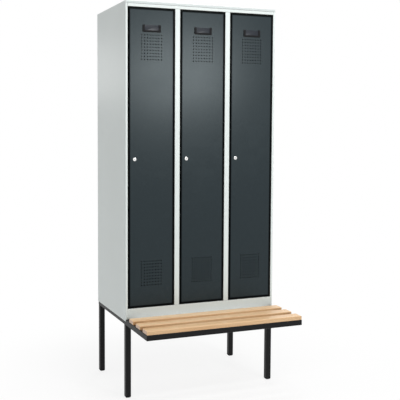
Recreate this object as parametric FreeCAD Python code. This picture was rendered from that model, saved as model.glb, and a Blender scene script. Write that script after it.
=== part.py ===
import FreeCAD, Part
import math
import os

Vec = FreeCAD.Vector

# Clothes locker with bench. Millimetres, +Z up, the doors face -Y.
# The origin is on the floor, in the middle of the locker's footprint.

# Overall size
body_width = 885.0
body_depth = 500.0
overall_height = 2100.0
bench_depth = 310.0
frame_top = 425.0

# Sheet steel body
sheet = 1.0
bend_radius = 1.5
weld_gap = 0.2
skirt = 8.0
stile_face = 12.5
post_face = 29.0
top_frame_height = 29.5
lid_lip = 12.0
lid_seam = 0.6
bottom_rail_height = 57.5
jamb_depth = 22.0
stop_lip = 10.0
rear_flange = 15.0
foot_flange = 25.0
rail_flange = 12.0
partition_flange = 20.0
back_panel_inset = 1.5

# Wall fixing holes in the back panel
wall_hole_radius = 4.5
wall_hole_spacing = 600.0
wall_hole_drop = 60.0

# Hat shelves, coat rails and sliding hooks
shelf_drop = 310.0
shelf_setback = 48.0
shelf_rear_gap = 3.0
shelf_front_lip = 20.0
shelf_side_lip = 15.0
shelf_hem = 12.0
rail_drop = 45.0
rail_radius = 10.0
rail_wall = 1.5
socket_plate_radius = 17.0
socket_plate = 4.0
socket_collar_radius = 13.0
socket_length = 14.0
socket_fit = 0.1
rail_end_gap = 0.3
hook_clearance = 0.3
hook_thickness = 4.0
hook_width = 9.0
hook_reach = 24.0
hook_drop = 50.0
hook_tip = 16.0
hook_bend = 9.0
hook_offset = 45.0

# Doors
door_gap = 6.0
door_recess = 0.8
door_thickness = 18.0
door_sheet = 1.0
door_edge_radius = 3.0
door_corner_radius = 2.0
door_rear_lip = 10.0
stiffener_width = 24.0
stiffener_depth = 12.0
stiffener_flange = 10.0
stiffener_from_edge = 38.0
stiffener_end_gap = 30.0

# Vent fields of square holes
vent_columns = 8
vent_rows = 9
vent_pitch = 16.0
vent_hole = 6.0
upper_vent_drop = 140.0
lower_vent_rise = 118.0

# Label holders
label_width = 102.0
label_height = 38.0
label_drop = 90.0
label_bar = 12.0
label_sill = 9.0
label_depth = 3.0
label_card_slot = 1.2
label_lip = 7.0

# Hinge pins
hinge_inset = 6.5
hinge_depth = 6.5
pin_radius = 3.0
pin_running_fit = 0.05
pin_reach = 12.0
pin_head_radius = 4.5
pin_head = 2.0
pin_washer_gap = 0.2

# Cam locks
lock_from_edge = 38.3
lock_height = 1276.5
lock_flange_radius = 9.5
lock_flange = 2.5
lock_flange_rounding = 1.2
lock_body_radius = 8.0
lock_hole_fit = 0.1
lock_body_length = 21.4
lock_nut_flats = 22.0
lock_nut_height = 5.0
plug_radius = 6.0
plug_fit = 0.05
plug_recess = 0.6
key_slot_width = 1.8
key_slot_length = 8.0
key_slot_depth = 4.0
cam_gap = 0.5
cam_thickness = 2.5
cam_width = 14.0
cam_length = 34.0
cam_square = 7.0
cam_square_fit = 0.05
cam_rivet_radius = 5.5
cam_rivet = 1.2

# Bench frame of square tube
tube = 30.0
tube_wall = 2.0
tube_corner = 4.0
frame_side_gap = 0.5
frame_rear_inset = 8.0
foot_height = 13.0
foot_rounding = 9.0
foot_insert = 20.0
foot_insert_fit = 0.2

# Bench slats
slat_width = 60.0
slat_gap = 40.0
slat_thickness = 20.0
slat_edge_radius = 4.0

# Bolts under the slats and under the body
slat_bolt_radius = 3.0
slat_bolt_depth = 13.0
body_bolt_radius = 4.0
body_bolt_spacing = 600.0
bolt_hole_fit = 0.3
bolt_head_height = 4.0
bolt_head_flats = 3.4

# Places that follow from the sizes above
skin = sheet / 2
half_width = body_width / 2
back = (body_depth + bench_depth) / 2
front = back - body_depth
bench_front = front - bench_depth
open_top = overall_height - top_frame_height
open_bottom = frame_top + bottom_rail_height
floor_top = open_bottom + stop_lip
face_line = front + skin
stop_line = front + jamb_depth
rear_line = back - sheet - skin
bend_reach = bend_radius + sheet
opening_width = (body_width - 2 * stile_face - 2 * post_face) / 3
door_pitch = opening_width + post_face
post_places = {"left": -door_pitch / 2, "right": door_pitch / 2}
bay_places = {"left": -door_pitch, "middle": 0.0, "right": door_pitch}
bay_walls = {
    "left": (-half_width + sheet, -door_pitch / 2 - skin),
    "middle": (-door_pitch / 2 + skin, door_pitch / 2 - skin),
    "right": (door_pitch / 2 + skin, half_width - sheet),
}
door_front = front + door_recess
door_rear = door_front + door_thickness
door_bottom = open_bottom + door_gap
door_top = open_top - door_gap
shelf_top = overall_height - shelf_drop
rail_height = shelf_top - rail_drop
rail_depth = (stop_line + rear_line) / 2
frame_half = half_width - sheet - frame_side_gap
frame_rear = back - frame_rear_inset
frame_bottom = frame_top - tube
cam_front = stop_line + skin + cam_gap


def box(x0, x1, y0, y1, z0, z1):
    """Block between two corners."""
    return Part.makeBox(x1 - x0, y1 - y0, z1 - z0, Vec(x0, y0, z0))


def rod(radius, start, direction, length):
    """Round bar from a point along a direction."""
    return Part.makeCylinder(radius, length, start, direction)


def plan(a, b):
    """A profile point drawn on the floor plan: a along X, b along Y."""
    return Vec(a, b, 0)


def side_view(a, b):
    """A profile point drawn from the side: a along Y, b along Z."""
    return Vec(0, a, b)


def front_view(a, b):
    """A profile point drawn from the front: a along X, b along Z."""
    return Vec(a, 0, b)


def unit(start, end):
    """Direction between two profile points."""
    length = math.hypot(end[0] - start[0], end[1] - start[1])
    return ((end[0] - start[0]) / length, (end[1] - start[1]) / length)


def folded_side(points, offset, mid_radius, place):
    """Edges of one face of a folded sheet, at an offset to the left of its middle line."""
    edges = []
    heading = unit(points[0], points[1])
    last = (points[0][0] - heading[1] * offset, points[0][1] + heading[0] * offset)
    for corner, following in zip(points[1:-1], points[2:]):
        ahead = unit(corner, following)
        turn = heading[0] * ahead[1] - heading[1] * ahead[0]
        way = 1.0 if turn > 0 else -1.0
        angle = math.atan2(turn, heading[0] * ahead[0] + heading[1] * ahead[1])
        setback = mid_radius * math.tan(abs(angle) / 2)
        entry = (corner[0] - heading[0] * setback, corner[1] - heading[1] * setback)
        leave = (corner[0] + ahead[0] * setback, corner[1] + ahead[1] * setback)
        centre = (entry[0] - heading[1] * way * mid_radius, entry[1] + heading[0] * way * mid_radius)
        radius = mid_radius - way * offset
        half_turn = unit((0, 0), (heading[0] + ahead[0], heading[1] + ahead[1]))
        middle = (centre[0] + half_turn[1] * way * radius, centre[1] - half_turn[0] * way * radius)
        arc_start = (entry[0] - heading[1] * offset, entry[1] + heading[0] * offset)
        arc_end = (leave[0] - ahead[1] * offset, leave[1] + ahead[0] * offset)
        edges.append(Part.makeLine(place(*last), place(*arc_start)))
        edges.append(Part.Arc(place(*arc_start), place(*middle), place(*arc_end)).toShape())
        last = arc_end
        heading = ahead
    end = (points[-1][0] - heading[1] * offset, points[-1][1] + heading[0] * offset)
    edges.append(Part.makeLine(place(*last), place(*end)))
    return edges


def folded(points, place, travel, thickness=sheet, radius=bend_radius):
    """Sheet folded along its middle line with rounded bends, as long as travel."""
    half = thickness / 2
    left = folded_side(points, half, radius + half, place)
    right = folded_side(points, -half, radius + half, place)
    first_cap = Part.makeLine(left[0].Vertexes[0].Point, right[0].Vertexes[0].Point)
    last_cap = Part.makeLine(left[-1].Vertexes[-1].Point, right[-1].Vertexes[-1].Point)
    outline = Part.Wire(Part.__sortEdges__(left + [last_cap] + right + [first_cap]))
    return Part.Face(outline).extrude(travel)


def cut_all(shape, tools):
    """Shape with a list of tools taken out of it."""
    return shape.cut(Part.makeCompound(tools))


def mirrored(shape):
    """The same piece for the other side of the locker."""
    return shape.mirror(Vec(0, 0, 0), Vec(1, 0, 0))


def solid_of(shape):
    """The one solid that a boolean operation leaves."""
    return shape.removeSplitter().Solids[0]


def save(name, *solids):
    """Writes one node: a single solid, or a group of like ones."""
    shape = solids[0] if len(solids) == 1 else Part.makeCompound(solids)
    shape.exportStep("parts/" + name + ".step")
    print(name, len(shape.Solids), "solids,", round(shape.Volume), "mm3", shape.isValid())


# Sheet steel body


def make_side_panel():
    """Left side: rear flange, wall, front stile, door jamb and stop lip from one sheet."""
    wall = -half_width + skin
    jamb = -half_width + stile_face - skin
    bottom = frame_top - skirt
    outline = [
        (wall + rear_flange, rear_line),
        (wall, rear_line),
        (wall, face_line),
        (jamb, face_line),
        (jamb, stop_line),
        (jamb + skin + stop_lip, stop_line),
    ]
    panel = folded(outline, plan, Vec(0, 0, overall_height - bottom))
    panel.translate(Vec(0, 0, bottom))
    inner = wall + skin + bend_reach
    reach = jamb + skin + stop_lip + sheet
    behind = stop_line + sheet
    jamb_front = front + bend_reach
    lip_front = stop_line - skin - bend_radius
    under_lid = overall_height - lid_lip - lid_seam
    above = overall_height + sheet
    below = bottom - sheet
    notches = [
        box(wall + skin, reach, front - sheet, behind, under_lid, above),
        box(inner, reach, jamb_front, behind, open_top, above),
        box(inner, reach, lip_front, behind, open_top - stop_lip - weld_gap, above),
        box(wall + skin, reach, front - sheet, behind, below, frame_top),
        box(inner, reach, jamb_front, behind, below, open_bottom),
        box(inner, reach, lip_front, behind, below, floor_top + weld_gap),
    ]
    return solid_of(cut_all(panel, notches))


def make_centre_post(centre):
    """Front post between two doors: a hat section whose lips are the door stops."""
    edge = post_face / 2 - skin
    lip = post_face / 2 + stop_lip
    outline = [
        (centre - lip, stop_line),
        (centre - edge, stop_line),
        (centre - edge, face_line),
        (centre + edge, face_line),
        (centre + edge, stop_line),
        (centre + lip, stop_line),
    ]
    post = folded(outline, plan, Vec(0, 0, open_top - open_bottom))
    post.translate(Vec(0, 0, open_bottom))
    lip_front = stop_line - skin - bend_radius
    behind = stop_line + sheet
    wide = lip + sheet
    notches = [
        box(centre - wide, centre + wide, lip_front, behind, open_top - stop_lip - weld_gap, open_top + sheet),
        box(centre - wide, centre + wide, lip_front, behind, open_bottom - sheet, floor_top + weld_gap),
    ]
    return solid_of(cut_all(post, notches))


def make_partition(centre):
    """Wall between two compartments, flanged to the post's lip and to the back panel."""
    front_line = stop_line + sheet
    height = overall_height - sheet - floor_top
    outline = [
        (centre - partition_flange, front_line),
        (centre, front_line),
        (centre, rear_line),
        (centre - rear_flange, rear_line),
    ]
    wall = folded(outline, plan, Vec(0, 0, height))
    wall.translate(Vec(0, 0, floor_top))
    room = box(
        centre - rear_flange - sheet, centre + sheet,
        rear_line - bend_reach, back,
        overall_height - lid_lip - weld_gap, overall_height,
    )
    return solid_of(wall.cut(room))


def make_back_panel():
    """Flat rear sheet with two holes for fixing the locker to a wall."""
    half = half_width - back_panel_inset
    panel = box(-half, half, back - sheet, back, frame_top + back_panel_inset, overall_height - back_panel_inset)
    height = overall_height - wall_hole_drop
    holes = [
        rod(wall_hole_radius, Vec(x, back - 2 * sheet, height), Vec(0, 1, 0), 3 * sheet)
        for x in (-wall_hole_spacing / 2, wall_hole_spacing / 2)
    ]
    return solid_of(cut_all(panel, holes))


def make_top_panel():
    """Lid with a short front lip and a rear lip, set between the side panels."""
    half = half_width - sheet - weld_gap
    top_line = overall_height - skin
    outline = [
        (rear_line, overall_height - lid_lip),
        (rear_line, top_line),
        (face_line, top_line),
        (face_line, overall_height - lid_lip),
    ]
    lid = folded(outline, side_view, Vec(2 * half, 0, 0))
    lid.translate(Vec(-half, 0, 0))
    inner = half_width - sheet - rear_flange - sheet
    corners = [
        box(low, high, rear_line - bend_reach, back, overall_height - 2 * lid_lip, overall_height + sheet)
        for low, high in ((-half_width, -inner), (inner, half_width))
    ]
    return solid_of(cut_all(lid, corners))


def make_front_top_rail(pin_places):
    """Rail over the doors: top flange, face, jamb flange with hinge holes, stop lip."""
    half = half_width - stile_face - weld_gap
    rail_top = overall_height - lid_lip - lid_seam - skin
    flange_line = open_top + skin
    outline = [
        (face_line + rail_flange, rail_top),
        (face_line, rail_top),
        (face_line, flange_line),
        (stop_line, flange_line),
        (stop_line, open_top - stop_lip),
    ]
    rail = folded(outline, side_view, Vec(2 * half, 0, 0))
    rail.translate(Vec(-half, 0, 0))
    holes = [
        rod(pin_radius, Vec(x, y, open_top - sheet), Vec(0, 0, 1), 3 * sheet) for x, y in pin_places
    ]
    return solid_of(cut_all(rail, holes))


def make_base_panel(pin_places, bolt_places):
    """Raised floor, door sill and plinth from one sheet, flanged onto the bench frame."""
    half = half_width - sheet - weld_gap
    foot_line = frame_top + skin
    floor_line = floor_top - skin
    sill_line = open_bottom - skin
    outline = [
        (rear_line - foot_flange, foot_line),
        (rear_line, foot_line),
        (rear_line, floor_line),
        (stop_line, floor_line),
        (stop_line, sill_line),
        (face_line, sill_line),
        (face_line, foot_line),
        (face_line + foot_flange, foot_line),
    ]
    base = folded(outline, side_view, Vec(2 * half, 0, 0))
    base.translate(Vec(-half, 0, 0))
    front_inner = half_width - stile_face - weld_gap
    rear_inner = half_width - sheet - rear_flange - sheet
    below = frame_top - sheet
    above = floor_top + sheet
    tools = []
    for side in (-1, 1):
        low, high = sorted((side * front_inner, side * half_width))
        tools.append(box(low, high, front - sheet, stop_line + skin + bend_reach, below, above))
        low, high = sorted((side * rear_inner, side * half_width))
        tools.append(box(low, high, rear_line - bend_reach, back, below, above))
    for x, y in pin_places:
        tools.append(rod(pin_radius, Vec(x, y, open_bottom - 2 * sheet), Vec(0, 0, 1), 3 * sheet))
    for x, y in bolt_places:
        tools.append(rod(body_bolt_radius + bolt_hole_fit, Vec(x, y, below), Vec(0, 0, 1), 3 * sheet))
    return solid_of(cut_all(base, tools))


# Inside of each compartment


def make_hat_shelf(walls):
    """Shelf with a hemmed front lip and side lips against the compartment's walls."""
    left = walls[0] + weld_gap + skin
    right = walls[1] - weld_gap - skin
    line = shelf_top - skin
    shelf_front = front + shelf_setback
    shelf_rear = rear_line - skin - shelf_rear_gap
    across = [(left, shelf_top - shelf_side_lip), (left, line), (right, line), (right, shelf_top - shelf_side_lip)]
    tray = folded(across, front_view, Vec(0, shelf_rear - shelf_front - shelf_hem, 0))
    tray.translate(Vec(0, shelf_front + shelf_hem, 0))
    along = [
        (shelf_front + shelf_hem, shelf_top - shelf_front_lip),
        (shelf_front + skin, shelf_top - shelf_front_lip),
        (shelf_front + skin, line),
        (shelf_front + shelf_hem, line),
    ]
    lip = folded(along, side_view, Vec(right - left - 2 * bend_reach, 0, 0))
    lip.translate(Vec(left + bend_reach, 0, 0))
    return solid_of(tray.fuse(lip))


def make_coat_rail(walls):
    """Round tube across the compartment."""
    start = walls[0] + socket_plate + rail_end_gap
    length = walls[1] - socket_plate - rail_end_gap - start
    place = Vec(start, rail_depth, rail_height)
    tube_out = rod(rail_radius, place, Vec(1, 0, 0), length)
    return tube_out.cut(rod(rail_radius - rail_wall, place, Vec(1, 0, 0), length)).Solids[0]


def make_rail_socket(wall, way):
    """Cup on a compartment wall that holds one end of the coat rail."""
    axis = Vec(way, 0, 0)
    place = Vec(wall, rail_depth, rail_height)
    plate = rod(socket_plate_radius, place, axis, socket_plate)
    collar = rod(socket_collar_radius, place, axis, socket_plate + socket_length)
    bore = rod(rail_radius + socket_fit, place + axis * socket_plate, axis, socket_length + sheet)
    return solid_of(plate.fuse(collar).cut(bore))


def make_coat_hook(centre):
    """Sliding hook: a ring round the coat rail with a J-shaped arm below it."""
    start = Vec(centre - hook_width / 2, rail_depth, rail_height)
    inner = rail_radius + hook_clearance
    ring = rod(inner + hook_thickness, start, Vec(1, 0, 0), hook_width)
    arm_top = rail_height - inner - hook_thickness / 2
    arm = [
        (rail_depth, arm_top),
        (rail_depth, rail_height - inner - hook_drop),
        (rail_depth - hook_reach, rail_height - inner - hook_drop),
        (rail_depth - hook_reach, rail_height - inner - hook_drop + hook_tip),
    ]
    strap = folded(arm, side_view, Vec(hook_width, 0, 0), hook_thickness, hook_bend)
    strap.translate(Vec(start.x, 0, 0))
    hole = rod(inner, start, Vec(1, 0, 0), hook_width)
    return solid_of(ring.fuse(strap).cut(hole))


# Doors


def door_edges(centre):
    """Left and right edge of a door."""
    reach = opening_width / 2 - door_gap
    return centre - reach, centre + reach


def hinge_place(centre):
    """Plan position of a door's pivot, at its right edge."""
    return door_edges(centre)[1] - hinge_inset, door_front + hinge_depth


def lock_place(centre):
    """Where the lock's axis meets the door's front face."""
    return Vec(centre - opening_width / 2 + lock_from_edge, door_front, lock_height)


def vent_field(centre, lowest):
    """Tools for one field of square vent holes."""
    first = centre - (vent_columns - 1) * vent_pitch / 2 - vent_hole / 2
    tools = []
    for column in range(vent_columns):
        x = first + column * vent_pitch
        for row in range(vent_rows):
            z = lowest + row * vent_pitch
            tools.append(box(x, x + vent_hole, door_front - sheet, door_front + 2 * door_sheet, z, z + vent_hole))
    return tools


def make_door_leaf(centre):
    """Door pan with folded edges, vent fields, lock hole and pivot holes."""
    left, right = door_edges(centre)
    leaf = box(left, right, door_front, door_rear, door_bottom, door_top)
    uprights = [e for e in leaf.Edges if abs(e.Vertexes[0].Z - e.Vertexes[1].Z) < sheet
                and abs(e.Vertexes[0].X - e.Vertexes[1].X) < sheet]
    leaf = leaf.makeFillet(door_corner_radius, uprights)
    rim = [e for e in leaf.Edges if e.BoundBox.YMax < door_front + door_sheet / 2]
    leaf = leaf.makeFillet(door_edge_radius, rim)
    cavity = box(
        left + door_sheet, right - door_sheet,
        door_front + door_sheet, door_rear - door_sheet,
        door_bottom + door_sheet, door_top - door_sheet,
    )
    mouth = box(
        left + door_rear_lip, right - door_rear_lip,
        door_rear - 2 * door_sheet, door_rear + door_sheet,
        door_bottom + door_rear_lip, door_top - door_rear_lip,
    )
    leaf = leaf.cut(cavity.makeFillet(door_edge_radius - door_sheet, [
        e for e in cavity.Edges if e.BoundBox.YMax < door_front + 2 * door_sheet
    ])).cut(mouth)
    field_height = (vent_rows - 1) * vent_pitch + vent_hole
    tools = vent_field(centre, open_top - upper_vent_drop - field_height)
    tools += vent_field(centre, open_bottom + lower_vent_rise)
    lock = lock_place(centre)
    tools.append(rod(lock_body_radius + lock_hole_fit, lock - Vec(0, sheet, 0), Vec(0, 1, 0), 4 * sheet))
    x, y = hinge_place(centre)
    for z in (door_bottom - sheet, door_top - 2 * door_sheet):
        tools.append(rod(pin_radius + pin_running_fit, Vec(x, y, z), Vec(0, 0, 1), 3 * sheet))
    return cut_all(leaf, tools).Solids[0]


def make_door_stiffener(centre):
    """Hat-section upright welded inside the door, beside the vents on the hinge side."""
    middle = door_edges(centre)[1] - stiffener_from_edge
    line = door_front + door_sheet + skin
    edge = stiffener_width / 2
    outer = edge + stiffener_flange
    outline = [
        (middle - outer, line),
        (middle - edge, line),
        (middle - edge, line + stiffener_depth),
        (middle + edge, line + stiffener_depth),
        (middle + edge, line),
        (middle + outer, line),
    ]
    bottom = door_bottom + stiffener_end_gap
    channel = folded(outline, plan, Vec(0, 0, door_top - stiffener_end_gap - bottom))
    channel.translate(Vec(0, 0, bottom))
    return channel.Solids[0]


def make_label_holder(centre):
    """U-shaped holder on the door's face; a card slides in from above."""
    half = label_width / 2
    top = open_top - label_drop
    bottom = top - label_height
    face = door_front - label_depth
    holder = box(centre - half, centre + half, face, door_front, bottom, top)
    window = box(
        centre - half + label_bar, centre + half - label_bar,
        face - sheet, door_front + sheet, bottom + label_sill, top + sheet,
    )
    slot = box(
        centre - half + label_bar - label_lip, centre + half - label_bar + label_lip,
        door_front - label_card_slot, door_front + sheet, bottom + label_sill - label_lip, top + sheet,
    )
    return solid_of(holder.cut(window).cut(slot))


def make_lock_housing(place):
    """Round lock body with a rounded front flange and a bore for the plug."""
    inward = Vec(0, 1, 0)
    flange = rod(lock_flange_radius, place - inward * lock_flange, inward, lock_flange)
    rim = [e for e in flange.Edges if e.BoundBox.YMax < door_front - lock_flange / 2 and e.Closed]
    flange = flange.makeFillet(lock_flange_rounding, rim)
    body = rod(lock_body_radius, place, inward, lock_body_length)
    bore = rod(plug_radius + plug_fit, place - inward * 2 * lock_flange, inward, lock_body_length + 3 * lock_flange)
    return solid_of(flange.fuse(body).cut(bore))


def make_lock_nut(place):
    """Hexagon nut that clamps the lock body to the door sheet."""
    inward = Vec(0, 1, 0)
    start = place + inward * door_sheet
    corner = lock_nut_flats / math.sqrt(3)
    points = [
        start + Vec(corner * math.cos(k * math.pi / 3), 0, corner * math.sin(k * math.pi / 3)) for k in range(7)
    ]
    nut = Part.Face(Part.makePolygon(points)).extrude(inward * lock_nut_height)
    return solid_of(nut.cut(rod(lock_body_radius, start, inward, lock_nut_height)))


def make_lock_plug(place):
    """Turning plug with a key slot, a square end for the cam and a riveted head."""
    inward = Vec(0, 1, 0)
    nose = place - inward * (lock_flange - plug_recess)
    shoulder = cam_front - nose.y
    plug = rod(plug_radius, nose, inward, shoulder)
    half = cam_square / 2
    square = box(
        place.x - half, place.x + half, cam_front, cam_front + cam_thickness, place.z - half, place.z + half
    )
    rivet = rod(cam_rivet_radius, Vec(place.x, cam_front + cam_thickness, place.z), inward, cam_rivet)
    slot = box(
        place.x - key_slot_width / 2, place.x + key_slot_width / 2, nose.y - sheet, nose.y + key_slot_depth,
        place.z - key_slot_length / 2, place.z + key_slot_length / 2,
    )
    return solid_of(plug.fuse(square).fuse(rivet).cut(slot))


def make_lock_cam(place):
    """Locking tongue, hanging down when the door is unlocked."""
    inward = Vec(0, 1, 0)
    hub = Vec(place.x, cam_front, place.z)
    half = cam_width / 2
    tip = Vec(place.x, cam_front, place.z - cam_length + half)
    blade = box(
        place.x - half, place.x + half, cam_front, cam_front + cam_thickness, tip.z, place.z
    )
    cam = blade.fuse(rod(half, hub, inward, cam_thickness)).fuse(rod(half, tip, inward, cam_thickness))
    hole = cam_square / 2 + cam_square_fit
    seat = box(
        place.x - hole, place.x + hole, cam_front - sheet, cam_front + cam_thickness + sheet,
        place.z - hole, place.z + hole,
    )
    return solid_of(cam.cut(seat))


def make_hinge_pins(x, y):
    """Upper pin through the top rail's flange, lower pin with a washer that carries the door."""
    up = Vec(0, 0, 1)
    upper_end = door_top - pin_reach
    upper = rod(pin_radius, Vec(x, y, upper_end), up, open_top + sheet + pin_head - upper_end)
    upper = upper.fuse(rod(pin_head_radius, Vec(x, y, open_top + sheet), up, pin_head))
    lower_end = open_bottom - sheet - pin_head
    lower = rod(pin_radius, Vec(x, y, lower_end), up, door_bottom + pin_reach - lower_end)
    lower = lower.fuse(rod(pin_head_radius, Vec(x, y, lower_end), up, pin_head))
    lower = lower.fuse(rod(pin_head_radius, Vec(x, y, open_bottom), up, door_gap - pin_washer_gap))
    return [solid_of(upper), solid_of(lower)]


# Bench frame


def rounded_square(side, corner, place):
    """Closed outline of a square with rounded corners, centred on the origin."""
    half = side / 2
    flat = half - corner
    slant = flat + corner * math.sqrt(0.5)
    edges = []
    for k in range(4):
        c, s = round(math.cos(k * math.pi / 2)), round(math.sin(k * math.pi / 2))
        spots = [(half, -flat), (half, flat), (slant, slant), (flat, half)]
        a, b, m, e = [place(p * c - q * s, p * s + q * c) for p, q in spots]
        edges += [Part.makeLine(a, b), Part.Arc(b, m, e).toShape()]
    return Part.Wire(Part.__sortEdges__(edges))


def make_tube(centre, place, travel):
    """Square tube from a centre point along travel."""
    outer = Part.Face(rounded_square(tube, tube_corner, place)).extrude(travel)
    inner = Part.Face(rounded_square(tube - 2 * tube_wall, tube_corner - tube_wall, place)).extrude(travel)
    ring = outer.cut(inner)
    ring.translate(centre)
    return ring


def mitred(ring, corners):
    """Tube trimmed to a plan outline, for mitred frame corners."""
    points = [Vec(x, y, frame_bottom - tube) for x, y in corners]
    prism = Part.Face(Part.makePolygon(points + points[:1])).extrude(Vec(0, 0, 3 * tube))
    return ring.common(prism)


def bolt_holes(places, radius):
    """Tools for vertical bolt holes through a rail of the frame."""
    return [
        rod(radius + bolt_hole_fit, Vec(x, y, frame_bottom - tube), Vec(0, 0, 1), 3 * tube) for x, y in places
    ]


def make_side_rail(slat_bolts):
    """Left rail from the back of the locker to the front of the bench, mitred at both ends."""
    centre = Vec(-frame_half + tube / 2, bench_front, frame_top - tube / 2)
    ring = make_tube(centre, lambda a, b: Vec(a, 0, b), Vec(0, frame_rear - bench_front, 0))
    inner = -frame_half + tube
    rail = mitred(ring, [
        (-frame_half, bench_front), (inner, bench_front + tube), (inner, frame_rear - tube), (-frame_half, frame_rear),
    ])
    return solid_of(cut_all(rail, bolt_holes(slat_bolts, slat_bolt_radius)))


def make_end_rail(outer_y, inner_y, places):
    """Front or rear rail of the frame, mitred at both ends."""
    centre = Vec(-frame_half, (outer_y + inner_y) / 2, frame_top - tube / 2)
    ring = make_tube(centre, side_view, Vec(2 * frame_half, 0, 0))
    inner = frame_half - tube
    rail = mitred(ring, [(-frame_half, outer_y), (frame_half, outer_y), (inner, inner_y), (-inner, inner_y)])
    tools = bolt_holes(places, body_bolt_radius)
    return solid_of(cut_all(rail, tools)) if tools else rail.Solids[0]


def make_cross_rail(places):
    """Rail under the front of the body, between the side rails."""
    inner = frame_half - tube
    ring = make_tube(Vec(-inner, front + tube / 2, frame_top - tube / 2), side_view, Vec(2 * inner, 0, 0))
    return solid_of(cut_all(ring, bolt_holes(places, body_bolt_radius)))


def make_leg(x, y):
    """Leg tube from its foot cap to the side rail."""
    return make_tube(Vec(x, y, foot_height), plan, Vec(0, 0, frame_bottom - foot_height)).Solids[0]


def make_foot_cap(x, y):
    """Plastic cap with a rounded sole and an insert in the leg tube."""
    half = tube / 2
    sole = box(x - half, x + half, y - half, y + half, 0, foot_height)
    sides = [e for e in sole.Edges if abs(e.Vertexes[0].Z - e.Vertexes[1].Z) > sheet]
    sole = sole.makeFillet(tube_corner, sides)
    rim = [e for e in sole.Edges if e.BoundBox.ZMax < foot_height / 2]
    sole = sole.makeFillet(foot_rounding, rim)
    reach = half - tube_wall - foot_insert_fit
    insert = box(x - reach, x + reach, y - reach, y + reach, foot_height, foot_height + foot_insert)
    sides = [e for e in insert.Edges if abs(e.Vertexes[0].Z - e.Vertexes[1].Z) > sheet]
    return solid_of(sole.fuse(insert.makeFillet(tube_corner - tube_wall, sides)))


# Bench slats and bolts


def make_slat(slat_front, bolts):
    """Wooden slat with rounded edges and blind holes for its bolts."""
    slat = box(-frame_half, frame_half, slat_front, slat_front + slat_width, frame_top, frame_top + slat_thickness)
    top = frame_top + slat_thickness
    edges = [e for e in slat.Edges if e.BoundBox.ZMin > top - sheet or e.BoundBox.XLength < sheet]
    slat = slat.makeFillet(slat_edge_radius, edges)
    holes = [
        rod(slat_bolt_radius + bolt_hole_fit, Vec(x, y, frame_top - sheet), Vec(0, 0, 1), slat_bolt_depth + sheet)
        for x, y in bolts
    ]
    return solid_of(cut_all(slat, holes))


def hexagon(x, y, z, radius, height):
    """Hexagon block for a bolt head or a nut."""
    points = [
        Vec(x + radius * math.cos(k * math.pi / 3), y + radius * math.sin(k * math.pi / 3), z) for k in range(7)
    ]
    return Part.Face(Part.makePolygon(points)).extrude(Vec(0, 0, height))


def make_bolt(x, y, radius, tip):
    """Hexagon bolt from under the frame up to its tip."""
    head = hexagon(x, y, frame_bottom - bolt_head_height, radius + bolt_head_flats, bolt_head_height)
    return solid_of(head.fuse(rod(radius, Vec(x, y, frame_bottom), Vec(0, 0, 1), tip - frame_bottom)))


def make_nut(x, y, radius, seat):
    """Hexagon nut on a bolt."""
    block = hexagon(x, y, seat, radius + bolt_head_flats, bolt_head_height)
    return solid_of(block.cut(rod(radius, Vec(x, y, seat), Vec(0, 0, 1), bolt_head_height)))


os.makedirs("parts", exist_ok=True)

pin_places = [hinge_place(centre) for centre in bay_places.values()]
rail_middle = frame_half - tube / 2
slat_fronts = {
    "front": bench_front,
    "middle": bench_front + slat_width + slat_gap,
    "rear": bench_front + 2 * (slat_width + slat_gap),
}
slat_bolt_lines = {name: y + slat_width / 2 for name, y in slat_fronts.items()}
left_slat_bolts = [(-rail_middle, y) for y in slat_bolt_lines.values()]
rear_bolt_line = frame_rear - tube / 2
front_bolts = [(x, front + tube / 2) for x in (-body_bolt_spacing / 2, body_bolt_spacing / 2)]
rear_bolts = [(x, rear_bolt_line) for x in (-body_bolt_spacing / 2, body_bolt_spacing / 2)]

side_panel = make_side_panel()
save("side_panel_left", side_panel)
save("side_panel_right", mirrored(side_panel))
for name, centre in post_places.items():
    save("centre_post_" + name, make_centre_post(centre))
    save("partition_" + name, make_partition(centre))
save("back_panel", make_back_panel())
save("top_panel", make_top_panel())
save("front_top_rail", make_front_top_rail(pin_places))
save("base_panel", make_base_panel(pin_places, front_bolts + rear_bolts))

sockets = []
pins = []
for name, centre in bay_places.items():
    walls = bay_walls[name]
    save("hat_shelf_" + name, make_hat_shelf(walls))
    save("coat_rail_" + name, make_coat_rail(walls))
    sockets += [make_rail_socket(walls[0], 1), make_rail_socket(walls[1], -1)]
    for side, offset in (("a", -hook_offset), ("b", hook_offset)):
        save("coat_hook_" + name + "_" + side, make_coat_hook(sum(walls) / 2 + offset))
    pins += make_hinge_pins(*hinge_place(centre))
    lock = lock_place(centre)
    save("door_leaf_" + name, make_door_leaf(centre))
    save("door_stiffener_" + name, make_door_stiffener(centre))
    save("label_holder_" + name, make_label_holder(centre))
    save("lock_housing_" + name, make_lock_housing(lock))
    save("lock_nut_" + name, make_lock_nut(lock))
    save("lock_plug_" + name, make_lock_plug(lock))
    save("lock_cam_" + name, make_lock_cam(lock))
save("rail_sockets", *sockets)
save("hinge_pins", *pins)

side_rail = make_side_rail(left_slat_bolts)
save("side_rail_left", side_rail)
save("side_rail_right", mirrored(side_rail))
save("front_rail", make_end_rail(bench_front, bench_front + tube, []))
save("rear_rail", make_end_rail(frame_rear, frame_rear - tube, rear_bolts))
save("cross_rail", make_cross_rail(front_bolts))
feet = []
for depth, y in (("front", front + tube / 2), ("rear", frame_rear - tube / 2)):
    for side, x in (("left", -rail_middle), ("right", rail_middle)):
        save("leg_" + depth + "_" + side, make_leg(x, y))
        feet.append(make_foot_cap(x, y))
save("foot_caps", *feet)

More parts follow.
